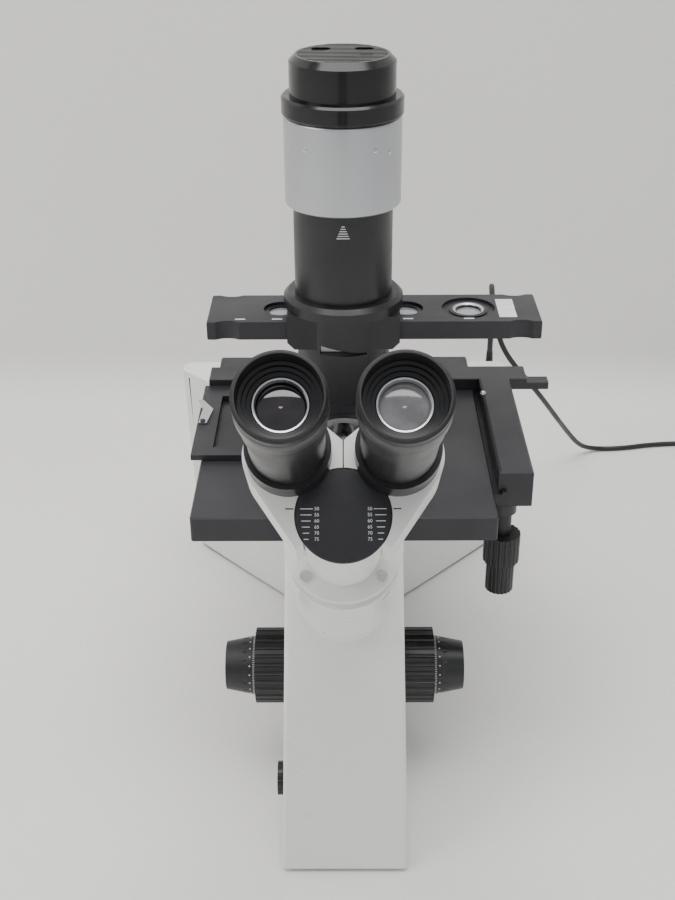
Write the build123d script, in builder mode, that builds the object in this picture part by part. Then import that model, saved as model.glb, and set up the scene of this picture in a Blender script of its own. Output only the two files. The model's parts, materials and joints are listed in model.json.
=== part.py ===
from build123d import *
import os
from math import acos, atan2, cos, degrees, pi, radians, sin, sqrt, tan

# Inverted microscope, in millimetres.
# The origin is on the table, straight below the optical axis: +X right, +Y away from the user, +Z up.

os.makedirs("parts", exist_ok=True)

# Clearances
running_gap = 0.05
sliding_gap = 0.3
body_gap = 0.4

# Feet, base and stand column
foot_height = 3.0
foot_radius = 10.0
wall = 5.0
base_plate_thickness = 3.0
base_plate_gap = 0.6
mirror_width = 36.0
mirror_length = 40.0
mirror_thickness = 4.0
mirror_post = 16.0
column_width = 84.5
column_draft = 0.024
face_lean = 0.225
column_front = 212.0
column_top = 240.0
column_top_back = 134.0
hump_back = 64.0
column_top_radius = 8.0
column_edge_radius = 3.0
well_floor = 120.0
light_hole_radius = 13.0

# Rear block of the stand, which flares out behind the column
rear_start = 84.0
rear_back = 205.0
rear_half_foot = 136.0
rear_half_top = 142.0
rear_height = 184.0
pad_depth = 35.0
pad_front_half = 58.0
pad_back_half = 84.0
bracket_height = 40.0
bracket_lean = 22.0

# Stage plate and insert
stage_half_width = 100.0
stage_front = 126.0
stage_back = 121.0
stage_top = 228.0
stage_thickness = 17.8
stage_chamfer = 1.0
stage_hole_radius = 52.0
insert_radius = 55.0
insert_thickness = 4.0
insert_hole_radius = 20.0
stage_screw_x = 71.3
stage_screw_y = 111.0
stage_screw_radius = 2.5
stage_screw_head_radius = 4.8
stage_screw_length = 26.0

# Head, measured along the tube that leans towards the user
axis_offset = 23.7
flange_offset = 3.5
neck_radius = 30.7
neck_bore_radius = 24.0
flange_radius = 31.7
flange_height = 379.0
flange_thickness = 11.0
flange_reach = 20.0
hub_radius = 20.0
hub_height = 45.0
spindle_radius = 16.0
ring_radius = 22.2
ring_height = 15.6
disc_radius = 22.7
disc_thickness = 2.2
housing_hub_radius = 27.3
housing_eye_radius = 22.2
housing_thickness = 34.0
housing_split_angle = 35.0
boss_radius = 20.1
boss_height = 14.0
eye_circle_radius = 38.8
eye_distance = 51.5
head_screw_x = 20.0
head_screw_v = -14.5
head_screw_radius = 2.0
head_screw_head_radius = 3.0
head_screw_head_height = 1.4

# Eyepieces, with their heights above the scale disc
eye_tube_radius = 17.9
eye_tube_bore = 14.0
eye_tube_seat = 2.0
cup_spigot = 12.0
eye_tube_top = 55.5
eye_collar_radius = 19.2
eye_collar_top = 71.4
eyecup_radius = 20.2
eyecup_height = 17.5
eyecup_lip_radius = 18.3
eyecup_floor_radius = 17.7
eyecup_depth = 14.5
lens_radius = 10.9
lens_thickness = 2.6
lens_crown = 1.2

# Illumination column
lamp_collar_radius = 41.2
lamp_collar_bottom = 326.0
lamp_collar_top = 335.6
lamp_collar_bevel = 3.0
lamp_tube_radius = 33.4
lamp_tube_bore = 27.0
sleeve_radius = 38.6
sleeve_bottom = 398.3
sleeve_top = 456.2
sleeve_edge_radius = 1.6
lamp_ring_radius = 39.7
lamp_ring_top = 469.0
cap_radius = 34.4
cap_disc_radius = 30.4
cap_top = 494.0
cap_wall = 3.0
rib_count = 15
rib_depth = 1.6
vent_length = 13.0
vent_width = 5.5
vent_offset = 14.0

# Condenser
condenser_head_radius = 33.0
condenser_block_half = 38.5
condenser_block_depth = 27.5
condenser_block_bottom = 302.0
condenser_block_chamfer = 5.0
condenser_head_bottom = 297.0
condenser_radius = 32.3
condenser_bottom = 261.0
condenser_bore = 23.0
window_slot_left = -16.0
window_slot_width = 32.0
window_slot_height = 6.6
window_slot_bottom = 299.0

# Phase slider
slider_left = 93.4
slider_right = 135.4
slider_depth = 48.3
slider_top = 321.1
slider_thickness = 13.0
slider_gap = 0.4
station_pitch = 43.5
station_hole_radius = 12.0
station_recess_radius = 18.4
station_recess_depth = 2.0
station_ring_radius = 13.4
scallop_radius = 14.0
scallop_cut = 5.0

# Lamp arm, behind the illumination column
arm_half_width = 26.0
pillar_front = 138.0
pillar_back = 192.0
arm_bottom = 299.0
arm_top = 334.0
arm_corner_radius = 12.0
arm_edge_radius = 5.0

# Focus drive
focus_y = -100.0
focus_z = 87.2
coarse_radius = 26.7
coarse_outer = 63.0
coarse_bevel = 3.5
coarse_flutes = 28
fine_root_radius = 21.0
fine_tip_radius = 17.0
fine_outer = 84.2
fine_flutes = 16
focus_shaft_radius = 6.0
fine_shaft_radius = 3.5
pinion_x = 24.0
pinion_width = 8.0
pinion_teeth = 18
tooth_module = 1.0
tooth_addendum = 0.7
tooth_dedendum = 1.1
tooth_width = 1.25
guide_half_width = 15.0
guide_depth = 7.0
guide_top = 182.0
carrier_half_width = 23.0
carrier_depth = 6.7
carrier_bottom = 128.0
carrier_top = 160.0
carrier_arm_front = 18.0
carrier_arm_half = 18.0
carrier_arm_thickness = 7.5
carrier_light_radius = 11.0
yoke_leg_y = 34.0
yoke_leg_depth = 9.0
yoke_bar_height = 98.0
yoke_bar_thickness = 8.0
rack_bottom = 66.0

# Nosepiece
turret_tilt = 18.0
turret_offset = 28.0
turret_radius = 39.0
turret_thickness = 15.0
turret_pin_radius = 6.0
turret_pin_height = 13.0
turret_edge = 1.5
light_bore_radius = 7.0
shoulder_height = 184.0
objective_radius = 11.5
objective_tip_radius = 6.5
objective_thread_length = 4.0
objective_taper = 0.6
objective_lengths = (33.0, 29.0, 31.0, 27.0)

# Mechanical stage
rail_front = 91.7
rail_back = 100.0
rail_bottom = 217.0
rail_height = 7.0
rail_reach = 3.4
rail_neck_reach = 6.2
rail_lip_reach = 9.0
rail_lip = 2.0
carriage_gap = 0.4
carriage_right = 127.0
carriage_front = 88.0
carriage_bottom = 213.0
carriage_top = 240.0
carriage_edge = 1.5
shelf_back = 86.0
tongue_depth = 8.0
tongue_height = 4.0
drive_boss_radius = 8.5
drive_boss_height = 8.0
cross_arm_front = 59.0
cross_arm_depth = 22.0
cross_arm_height = 9.6
cross_arm_left = 104.0
cross_arm_right = 141.0
arm_tip_length = 17.0
arm_tip_depth = 11.0
arm_tip_height = 5.6
holder_left = 107.0
holder_right = 53.0
holder_front = 51.0
holder_thickness = 4.0
window_left = 92.3
window_right = 35.5
window_front = 39.0
window_back = 41.0
clamp_x = 103.0
clamp_y = -2.0
clamp_length = 34.0
clamp_width = 6.0
clamp_thickness = 1.2
clamp_screw_radius = 2.0
drive_x = 109.6
drive_y = -80.0
drive_sleeve_radius = 5.7
drive_spindle_radius = 3.0
upper_knob_radius = 12.6
upper_knob_top = 187.0
upper_knob_bottom = 165.0
lower_knob_radius = 9.8
lower_knob_bottom = 141.0
knob_flutes = 20

# Brightness dial, power inlet and switch
dial_radius = 11.2
dial_y = -178.0
dial_z = 53.3
dial_reach = 3.5
dial_stem_radius = 3.0
socket_x = 130.7
socket_z = 156.0
plug_radius = 6.5
plug_pin_radius = 3.25
plug_length = 14.0
relief_height = 34.0
relief_root_radius = 4.4
switch_x = 88.0
switch_width = 11.0
switch_height = 18.4
switch_depth = 6.0
switch_lip = 1.2

# Power cord
cord_diameter = 5.0
coil_x = 415.0
coil_y = 414.0
coil_inner_radius = 19.0
coil_outer_radius = 35.0
coil_height = 10.4
connector_length = 30.0
connector_radius = 4.5
cord_bend_share = 0.45
cord_route = [
    (130.7, 213.4, 190.0),
    (130.7, 213.4, 206.0),
    (131.0, 213.9, 222.4),
    (131.5, 223.3, 236.1),
    (132.6, 239.4, 241.3),
    (134.2, 255.5, 236.1),
    (136.5, 264.6, 221.5),
    (141.0, 266.0, 197.0),
    (149.5, 262.0, 166.5),
    (185.4, 275.0, 120.5),
    (209.4, 300.0, 81.4),
    (231.7, 335.0, 42.0),
    (250.0, 357.0, 14.0),
    (268.0, 370.0, 2.6),
    (297.0, 370.5, 2.6),
    (330.0, 378.5, 2.6),
    (359.0, 381.5, 2.6),
    (388.0, 380.8, 2.6),
    (415.0, 381.5, 2.6),
]

# Values that follow from the ones above
half_root = sqrt(0.5)
column_half = column_width / 2
face_angle = degrees(atan2(1, face_lean))
stage_bottom = stage_top - stage_thickness
hump_top = stage_bottom
flange_top = flange_height + flange_thickness
hub_top = flange_top + hub_height
split_height = hub_top + ring_height + 1.5 * sliding_gap
disc_bottom = split_height + ring_height + 1.5 * sliding_gap
disc_top = disc_bottom + disc_thickness
housing_bottom = disc_top - housing_thickness
mirror_height = axis_offset / half_root
slider_bottom = slider_top - slider_thickness
eye_x = eye_distance / 2
eye_v = sqrt(eye_circle_radius ** 2 - eye_x ** 2)
carriage_left = stage_half_width + rail_reach + carriage_gap
carriage_back = cross_arm_front - 0.4
arm_level = stage_top + body_gap
pitch_radius = pinion_teeth * tooth_module / 2
socket_y = cord_route[0][1]
coarse_inner = column_half - column_draft * (focus_z - coarse_radius) + body_gap
dial_inner = column_half - column_draft * (dial_z - dial_radius) + body_gap
tube_axis = Axis((0, 0, 0), (0, -1, 1))
turret_axis = Vector(0, sin(radians(turret_tilt)), cos(radians(turret_tilt)))
turret_centre = Vector(
    0,
    turret_offset * cos(radians(turret_tilt)),
    shoulder_height - turret_offset * sin(radians(turret_tilt)),
)


def tube_plane(height):
    """Plane across the inclined tube, at a height along it. Its local Y points up and away from the user."""
    origin = (0, half_root * (axis_offset - height), half_root * (axis_offset + height))
    return Plane(origin=origin, x_dir=(1, 0, 0), z_dir=(0, -half_root, half_root))


def save(builder, name):
    """Label a finished piece and write it as its own file."""
    builder.part.label = name
    export_step(builder.part, f"parts/{name}.step")


def column_profile(inset):
    """Side profile of the column, the hump behind it and the well, drawn inset from the outside."""
    front = inset * sqrt(1 + face_lean ** 2) - column_front
    top = column_top - inset
    return [
        (front + face_lean * foot_height, foot_height),
        (front + face_lean * top, top),
        (-column_top_back - inset, top),
        (-column_top_back - inset, hump_top - inset),
        (-hump_back - inset, hump_top - inset),
        (-hump_back - inset, well_floor - inset),
        (rear_start + 2 * wall, well_floor - inset),
        (rear_start + 2 * wall, foot_height),
    ]


def column_front_view(inset):
    """Front view of the column, which narrows evenly towards its top."""
    half_foot = column_half - inset
    half_top = half_foot - column_draft * column_top
    return [(-half_foot, 0), (half_foot, 0), (half_top, column_top), (-half_top, column_top)]


def rear_face(half_width, inset, height):
    """Plan of the rear block at a height: narrow at the column, flaring out to the back."""
    neck = column_half - inset
    start = rear_start + inset
    back = rear_back - inset
    side = half_width - inset
    with BuildSketch(Plane.XY.offset(height)) as plan:
        with BuildLine():
            Polyline((0, start), (neck, start), (neck, start + 8))
            Spline((neck, start + 8), (neck + 0.5 * (side - neck), start + 0.46 * (back - start)), (side, back - 16))
            Polyline((side, back - 16), (side, back - 6), (side - 6, back), (0, back), (0, start))
        make_face()
        mirror(about=Plane.YZ)
    return plan.sketch


def pad_face(front_half, back_half, height):
    """Plan of the pad under the back of the stage plate."""
    with BuildSketch(Plane.XY.offset(height)) as plan:
        with BuildLine():
            Polyline(
                (-front_half, rear_start),
                (front_half, rear_start),
                (back_half, rear_start + pad_depth),
                (-back_half, rear_start + pad_depth),
                close=True,
            )
        make_face()
    return plan.sketch


def eye_section(side):
    """Plane through an eyepiece's axis: local X is across it, local Y is the height above the scale disc."""
    centre = tube_plane(disc_top).from_local_coords((side * eye_x, eye_v))
    return Plane(origin=centre, x_dir=(1, 0, 0), z_dir=(0, -half_root, -half_root))


def eye_axis(side):
    """Axis of an eyepiece."""
    section = eye_section(side)
    return Axis(section.origin, section.y_dir)


def objective_plane(index, distance):
    """Plane across an objective, at a distance from its seat on the turret."""
    tilt = radians(turret_tilt)
    around = 2 * pi * index / len(objective_lengths)
    outward = Vector(sin(around), -cos(around) * cos(tilt), cos(around) * sin(tilt))
    along = turret_axis * cos(tilt) + outward * sin(tilt)
    return Plane(origin=turret_centre + outward * turret_offset + along * distance, z_dir=along)


def ring(inner, outer, bottom, height):
    """Upright ring about the optical axis."""
    with BuildPart(mode=Mode.PRIVATE) as body:
        with BuildSketch(Plane.XY.offset(bottom)):
            Circle(outer)
            Circle(inner, mode=Mode.SUBTRACT)
        extrude(amount=height)
    return body.part


# Stand: column, nosepiece well and flared rear block, one hollow casting
with BuildPart() as column_hollow:
    with BuildSketch(Plane.YZ):
        with BuildLine():
            Polyline(*column_profile(wall), close=True)
        make_face()
    extrude(amount=column_half, both=True)
    with BuildSketch(Plane.XZ):
        with BuildLine():
            Polyline(*column_front_view(wall), close=True)
        make_face()
    extrude(amount=rear_back + column_front, both=True, mode=Mode.INTERSECT)

with BuildPart() as stand_body:
    with BuildSketch(Plane.YZ):
        with BuildLine():
            Polyline(*column_profile(0), close=True)
        make_face()
    extrude(amount=column_half, both=True)
    with BuildSketch(Plane.XZ):
        with BuildLine():
            Polyline(*column_front_view(0), close=True)
        make_face()
    extrude(amount=rear_back + column_front, both=True, mode=Mode.INTERSECT)
    front_edges = stand_body.edges().filter_by(
        lambda edge: edge.center().Y < -column_top_back + 1
        and abs(edge.center().X) > 1
        and edge.center().Z > foot_height + 1
    )
    fillet(front_edges, column_edge_radius)
    loft([rear_face(rear_half_foot, 0, foot_height), rear_face(rear_half_top, 0, rear_height)])
    # The pad under the stage plate, and the brackets that widen up to it
    add(pad_face(pad_front_half, pad_back_half, rear_height))
    extrude(amount=stage_bottom - rear_height)
    loft([
        pad_face(column_half, pad_back_half - bracket_lean, rear_height - bracket_height),
        pad_face(pad_front_half, pad_back_half, rear_height),
    ])
    # Hollow inside, open at the bottom
    add(column_hollow.part, mode=Mode.SUBTRACT)
    loft(
        [rear_face(rear_half_foot, wall, foot_height), rear_face(rear_half_top, wall, rear_height - wall)],
        mode=Mode.SUBTRACT,
    )
    # Light paths: down through the well floor and out through the sloping face
    with BuildSketch(Plane.XY.offset(well_floor)):
        Circle(light_hole_radius)
    extrude(amount=-2 * wall, mode=Mode.SUBTRACT)
    with BuildSketch(tube_plane(flange_height)):
        Circle(neck_bore_radius)
    extrude(amount=column_top - flange_height, mode=Mode.SUBTRACT)
    # Slot in the well floor for the leg of the focus yoke
    with BuildSketch(Plane.XY.offset(well_floor)):
        with Locations((pinion_x, yoke_leg_y)):
            Rectangle(pinion_width + 4 * body_gap, yoke_leg_depth + 4 * body_gap)
    extrude(amount=-2 * wall, mode=Mode.SUBTRACT)
    # Bearing bores for the focus shaft and the dial's stem
    with BuildSketch(Plane.YZ.offset(-column_half - 1)):
        with Locations((focus_y, focus_z)):
            Circle(focus_shaft_radius + running_gap)
    extrude(amount=column_width + 2, mode=Mode.SUBTRACT)
    with BuildSketch(Plane.YZ.offset(-column_half - 1)):
        with Locations((dial_y, dial_z)):
            Circle(dial_stem_radius + running_gap)
    extrude(amount=2 * wall, mode=Mode.SUBTRACT)
    # Openings in the back for the power plug and the rocker switch
    with BuildSketch(Plane.XZ.offset(-rear_back - 1)):
        with Locations((socket_x, socket_z)):
            Circle(plug_pin_radius + running_gap)
        with Locations((switch_x, socket_z)):
            Rectangle(switch_width + 2 * sliding_gap, switch_height + 4 * sliding_gap)
    extrude(amount=3 * wall, mode=Mode.SUBTRACT)
    # Threaded holes for the two stage screws
    with Locations((-stage_screw_x, stage_screw_y, stage_bottom), (stage_screw_x, stage_screw_y, stage_bottom)):
        Hole(stage_screw_radius, depth=stage_screw_length)
save(stand_body, "stand_body")

# Base plate that closes the hollow stand from below
with BuildPart() as base_plate:
    with BuildSketch(Plane.XY.offset(foot_height)):
        with Locations((0, (rear_start + 4 * wall - column_front) / 2)):
            Rectangle(column_width - 2 * wall - 2 * base_plate_gap, column_front + rear_start)
        add(rear_face(rear_half_foot, wall + base_plate_gap, 0))
    extrude(amount=base_plate_thickness)
save(base_plate, "base_plate")

# Rubber feet under the base plate
with BuildPart() as feet:
    with BuildSketch():
        with Locations((-22, -190), (22, -190), (-105, 180), (105, 180)):
            Circle(foot_radius)
    extrude(amount=foot_height)
    chamfer(feet.faces().sort_by(Axis.Z)[0].edges(), 0.8)
save(feet, "feet")

# Stage plate, with a stepped hole for the insert and two countersunk screws at the back
with BuildPart() as stage_plate:
    with BuildSketch(Plane.XY.offset(stage_bottom)):
        with Locations((0, (stage_back - stage_front) / 2)):
            RectangleRounded(2 * stage_half_width, stage_front + stage_back, 2.0)
    extrude(amount=stage_thickness)
    chamfer(stage_plate.faces().sort_by(Axis.Z)[-1].edges(), stage_chamfer)
    with Locations((0, 0, stage_top)):
        CounterBoreHole(stage_hole_radius, insert_radius, insert_thickness)
    with Locations((-stage_screw_x, stage_screw_y, stage_top), (stage_screw_x, stage_screw_y, stage_top)):
        CounterSinkHole(stage_screw_radius + sliding_gap, stage_screw_head_radius)
save(stage_plate, "stage_plate")

# Round insert with the viewing hole
with BuildPart() as stage_insert:
    with BuildSketch(Plane.XY.offset(stage_top - insert_thickness)):
        Circle(insert_radius - sliding_gap)
        Circle(insert_hole_radius, mode=Mode.SUBTRACT)
    extrude(amount=insert_thickness)
    chamfer(stage_insert.edges().group_by(Axis.Z)[-1].sort_by(SortBy.RADIUS)[0], 0.8)
save(stage_insert, "stage_insert")

# Countersunk screws that hold the stage plate down on the pad
with BuildPart() as stage_screws:
    head_height = stage_screw_head_radius - stage_screw_radius
    with BuildSketch(Plane.XZ.offset(-stage_screw_y)):
        with BuildLine():
            Polyline(
                (stage_screw_x, stage_top - 0.3),
                (stage_screw_x + stage_screw_head_radius - 0.3, stage_top - 0.3),
                (stage_screw_x + stage_screw_radius - running_gap, stage_top - 0.3 - head_height),
                (stage_screw_x + stage_screw_radius - running_gap, stage_top - stage_screw_length),
                (stage_screw_x, stage_top - stage_screw_length),
                close=True,
            )
        make_face()
    revolve(axis=Axis((stage_screw_x, stage_screw_y, 0), (0, 0, 1)))
    with BuildSketch(Plane((stage_screw_x, stage_screw_y, stage_top - 0.3))):
        RegularPolygon(stage_screw_radius * 0.7, 6)
    extrude(amount=-head_height * 0.8, mode=Mode.SUBTRACT)
    mirror(about=Plane.YZ)
save(stage_screws, "stage_screws")

# Neck: a long tube between the column's face and the head, cut to the slope of the face
with BuildPart() as tube_neck:
    with BuildSketch(tube_plane(flange_height)):
        Circle(neck_radius)
        Circle(neck_bore_radius, mode=Mode.SUBTRACT)
    extrude(amount=column_top - flange_height)
    with BuildSketch(Plane.YZ):
        with BuildLine():
            Polyline(
                (-column_front, 0),
                (-column_front + face_lean * 2 * column_top, 2 * column_top),
                (column_front, 2 * column_top),
                (column_front, -column_top),
                (-column_front, -column_top),
                close=True,
            )
        make_face()
    extrude(amount=2 * neck_radius, both=True, mode=Mode.SUBTRACT)
save(tube_neck, "tube_neck")

# Tube lens in its ring, near the upper end of the neck
with BuildPart() as tube_lens:
    with BuildSketch(tube_plane(flange_height - 30)):
        Circle(neck_bore_radius - running_gap)
    extrude(amount=6)
    chamfer(tube_lens.edges(), 1.0)
save(tube_lens, "tube_lens")

# Mirror at the foot of the optical axis, tilted to send the light up the neck
with BuildPart() as fold_mirror:
    mirror_plane = Plane(origin=(0, 0, mirror_height), x_dir=(1, 0, 0), z_dir=(0, -sin(radians(22.5)), cos(radians(22.5))))
    with BuildSketch(mirror_plane):
        RectangleRounded(mirror_width, mirror_length, 3)
    extrude(amount=-mirror_thickness)
    with BuildSketch(Plane.XY.offset(foot_height + base_plate_thickness)):
        Rectangle(mirror_post, mirror_post)
    extrude(amount=mirror_height - foot_height - base_plate_thickness - mirror_thickness)
save(fold_mirror, "fold_mirror")

# Head body: shield-shaped flange, hub and the spindle that the two housings turn on
with BuildPart() as head_body:
    with BuildSketch(tube_plane(flange_height)):
        with Locations((0, flange_offset)):
            Circle(flange_radius)
        with Locations((0, flange_offset + flange_reach / 2)):
            Rectangle(2 * flange_radius, flange_reach)
    extrude(amount=flange_thickness)
    with BuildSketch(tube_plane(flange_top)):
        Circle(hub_radius)
    extrude(amount=hub_height)
    with BuildSketch(tube_plane(hub_top)):
        Circle(spindle_radius - running_gap)
    extrude(amount=disc_bottom - hub_top)
    with BuildSketch(tube_plane(flange_top)):
        with Locations((-head_screw_x, head_screw_v), (head_screw_x, head_screw_v)):
            Circle(head_screw_radius)
    extrude(amount=-flange_thickness + 1, mode=Mode.SUBTRACT)
save(head_body, "head_body")

# Black disc with the eye distance scale
with BuildPart() as scale_disc:
    with BuildSketch(tube_plane(disc_bottom)):
        Circle(disc_radius)
    extrude(amount=disc_thickness)
    chamfer(scale_disc.faces().sort_by(tube_axis)[-1].edges(), 0.5)
save(scale_disc, "scale_disc")

# Two bright screws that hold the head on its flange
screw_places = [(-head_screw_x, head_screw_v), (head_screw_x, head_screw_v)]
with BuildPart() as head_screws:
    with BuildSketch(tube_plane(flange_top)):
        with Locations(screw_places):
            Circle(head_screw_head_radius)
    extrude(amount=head_screw_head_height)
    with BuildSketch(tube_plane(flange_top)):
        with Locations(screw_places):
            Circle(head_screw_radius - running_gap)
    extrude(amount=2 - flange_thickness)
    with BuildSketch(tube_plane(flange_top + head_screw_head_height)):
        with Locations(screw_places):
            RegularPolygon(head_screw_radius * 0.7, 6)
    extrude(amount=-0.9, mode=Mode.SUBTRACT)
save(head_screws, "head_screws")

# Prism housings: each turns on its own ring round the spindle, and carries one eyepiece
for side, name in ((-1, "left"), (1, "right")):
    if side < 0:
        ring_bottom = hub_top + sliding_gap
    else:
        ring_bottom = split_height + sliding_gap / 2
    ring_top = ring_bottom + ring_height
    with BuildPart() as prism_housing:
        with BuildSketch(tube_plane(housing_bottom)):
            Circle(housing_hub_radius)
            with Locations((side * eye_x, eye_v)):
                Circle(housing_eye_radius)
            make_hull()
            # Kept on its own side of the middle, and above a line that clears the other housing's turn
            with BuildLine():
                far = 4 * housing_hub_radius
                Polyline(
                    (side * sliding_gap, far),
                    (side * far, far),
                    (side * far, -far * tan(radians(housing_split_angle))),
                    (side * sliding_gap, -sliding_gap * tan(radians(housing_split_angle))),
                    close=True,
                )
            make_face(mode=Mode.INTERSECT)
        extrude(amount=housing_thickness)
        # Room for the other housing's ring and for the scale disc
        with BuildSketch(tube_plane(housing_bottom)):
            Circle(ring_radius + sliding_gap)
        extrude(amount=ring_top - housing_bottom, mode=Mode.SUBTRACT)
        with BuildSketch(tube_plane(ring_top)):
            Circle(disc_radius + sliding_gap)
        extrude(amount=disc_top - ring_top, mode=Mode.SUBTRACT)
        # The housing's own ring
        with BuildSketch(tube_plane(ring_bottom)):
            Circle(ring_radius + 2 * sliding_gap)
            with BuildLine():
                Polyline(
                    (side * sliding_gap, far),
                    (side * far, far),
                    (side * far, -far * tan(radians(housing_split_angle))),
                    (side * sliding_gap, -sliding_gap * tan(radians(housing_split_angle))),
                    close=True,
                )
            make_face(mode=Mode.INTERSECT)
            Circle(ring_radius)
        extrude(amount=ring_height)
        with BuildSketch(tube_plane(hub_top)):
            Circle(spindle_radius)
        extrude(amount=disc_top - hub_top, mode=Mode.SUBTRACT)
        # Boss for the eye tube
        with BuildSketch(tube_plane(disc_top)):
            with Locations((side * eye_x, eye_v)):
                Circle(boss_radius)
        extrude(amount=boss_height)
        with BuildSketch(tube_plane(disc_top + boss_height)):
            with Locations((side * eye_x, eye_v)):
                Circle(eye_tube_radius + running_gap)
        extrude(amount=eye_tube_seat - boss_height, mode=Mode.SUBTRACT)
        # The boss stands just clear of the scale disc
        with BuildSketch(tube_plane(disc_top)):
            Circle(disc_radius + sliding_gap)
        extrude(amount=sliding_gap, mode=Mode.SUBTRACT)
    save(prism_housing, f"prism_housing_{name}")

    with BuildPart() as eye_tube:
        with BuildSketch(tube_plane(disc_top + eye_tube_seat)):
            with Locations((side * eye_x, eye_v)):
                Circle(eye_tube_radius)
                Circle(eye_tube_bore, mode=Mode.SUBTRACT)
        extrude(amount=eye_tube_top - eye_tube_seat)
        with BuildSketch(tube_plane(disc_top + eye_tube_top)):
            with Locations((side * eye_x, eye_v)):
                Circle(eye_collar_radius)
                Circle(eye_tube_bore, mode=Mode.SUBTRACT)
        extrude(amount=eye_collar_top - eye_tube_top)
    save(eye_tube, f"eye_tube_{name}")

    # Eyecup, which turns in the tube to focus that eye
    cup_bottom = eye_collar_top + sliding_gap
    cup_top = cup_bottom + eyecup_height
    with BuildPart() as eyecup:
        with BuildSketch(eye_section(side)):
            with BuildLine():
                Polyline(
                    (lens_radius + running_gap, cup_bottom - cup_spigot),
                    (eye_tube_bore - running_gap, cup_bottom - cup_spigot),
                    (eye_tube_bore - running_gap, cup_bottom),
                    (eyecup_radius, cup_bottom),
                    (eyecup_radius, cup_top - 1.2),
                    (eyecup_radius - 1.2, cup_top),
                    (eyecup_lip_radius, cup_top),
                    (eyecup_floor_radius, cup_top - eyecup_depth),
                    (lens_radius + running_gap, cup_top - eyecup_depth),
                    close=True,
                )
            make_face()
        revolve(axis=eye_axis(side))
    save(eyecup, f"eyecup_{name}")

    with BuildPart() as eye_lens:
        lens_bottom = cup_top - eyecup_depth - lens_thickness - lens_crown
        with BuildSketch(eye_section(side)):
            with BuildLine():
                Polyline(
                    (0, lens_bottom + lens_thickness + lens_crown),
                    (0, lens_bottom),
                    (lens_radius, lens_bottom),
                    (lens_radius, lens_bottom + lens_thickness),
                )
                TangentArc(
                    (0, lens_bottom + lens_thickness + lens_crown),
                    (lens_radius, lens_bottom + lens_thickness),
                    tangent=(1, 0),
                )
            make_face()
        revolve(axis=eye_axis(side))
    save(eye_lens, f"eye_lens_{name}")

# Collar that clamps the lamp column on the condenser head
with BuildPart() as lamp_collar:
    add(ring(lamp_tube_bore, lamp_collar_radius, lamp_collar_bottom, lamp_collar_top - lamp_collar_bottom))
    chamfer(lamp_collar.edges().filter_by(GeomType.CIRCLE).group_by(Axis.Z)[-1].sort_by(SortBy.RADIUS)[-1], lamp_collar_bevel)
save(lamp_collar, "lamp_collar")

# Lamp column's tube, which the sleeve turns on
with BuildPart() as lamp_tube:
    add(ring(lamp_tube_bore, lamp_tube_radius, lamp_collar_top, lamp_ring_top - lamp_collar_top))
save(lamp_tube, "lamp_tube")

# Bright sleeve that sets the opening of the field stop
with BuildPart() as lamp_sleeve:
    add(ring(lamp_tube_radius + running_gap, sleeve_radius, sleeve_bottom, sleeve_top - sleeve_bottom))
    outer_edges = lamp_sleeve.edges().filter_by(GeomType.CIRCLE).group_by(SortBy.RADIUS)[-1]
    fillet(outer_edges, sleeve_edge_radius)
save(lamp_sleeve, "lamp_sleeve")

# Black ring over the sleeve
with BuildPart() as lamp_ring:
    ring_foot = sleeve_top + sliding_gap
    add(ring(lamp_tube_radius + running_gap, lamp_ring_radius, ring_foot, lamp_ring_top - ring_foot))
    outer_edges = lamp_ring.edges().filter_by(GeomType.CIRCLE).group_by(SortBy.RADIUS)[-1]
    chamfer(outer_edges, 1.5)
save(lamp_ring, "lamp_ring")

# Hollow cap with cooling ribs across its top and two vents
with BuildPart() as lamp_cap:
    with BuildSketch(Plane.XZ):
        with BuildLine():
            Polyline(
                (cap_radius - cap_wall, lamp_ring_top),
                (cap_radius, lamp_ring_top),
                (cap_radius, cap_top - cap_radius + cap_disc_radius),
                (cap_disc_radius, cap_top),
                (0, cap_top),
                (0, cap_top - cap_wall - rib_depth),
                (cap_radius - cap_wall, cap_top - cap_wall - rib_depth - 4),
                close=True,
            )
        make_face()
    revolve(axis=Axis.Z)
    with BuildSketch(Plane.XY.offset(cap_top)):
        with GridLocations(0, 2 * cap_disc_radius / rib_count, 1, rib_count - 1):
            Rectangle(2 * cap_disc_radius, cap_disc_radius / rib_count)
        Circle(cap_disc_radius - 1.5, mode=Mode.INTERSECT)
    extrude(amount=-rib_depth, mode=Mode.SUBTRACT)
    with BuildSketch(Plane.XY.offset(cap_top)):
        with Locations((-vent_offset, vent_offset), (vent_offset, vent_offset)):
            SlotOverall(vent_length, vent_width)
    extrude(amount=-2 * cap_wall - rib_depth, mode=Mode.SUBTRACT)
save(lamp_cap, "lamp_cap")

# Light source board inside the tube
with BuildPart() as lamp_board:
    with BuildSketch(Plane.XY.offset(sleeve_top - 12)):
        Circle(lamp_tube_bore - running_gap)
    extrude(amount=2)
    with BuildSketch(Plane.XY.offset(sleeve_top - 12)):
        Circle(6)
    extrude(amount=-3)
save(lamp_board, "lamp_board")

# Collector lens in the collar, and the condenser's front lens
for name, radius, bottom in (
    ("collector_lens", lamp_tube_bore, lamp_collar_bottom + 1),
    ("condenser_lens", condenser_bore, condenser_bottom + 5),
):
    with BuildPart() as lens:
        with BuildSketch(Plane.XZ):
            with BuildLine():
                Polyline((0, bottom + 7), (0, bottom), (radius - running_gap, bottom), (radius - running_gap, bottom + 3))
                TangentArc((0, bottom + 7), (radius - running_gap, bottom + 3), tangent=(1, 0))
            make_face()
        revolve(axis=Axis.Z)
    save(lens, name)

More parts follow.
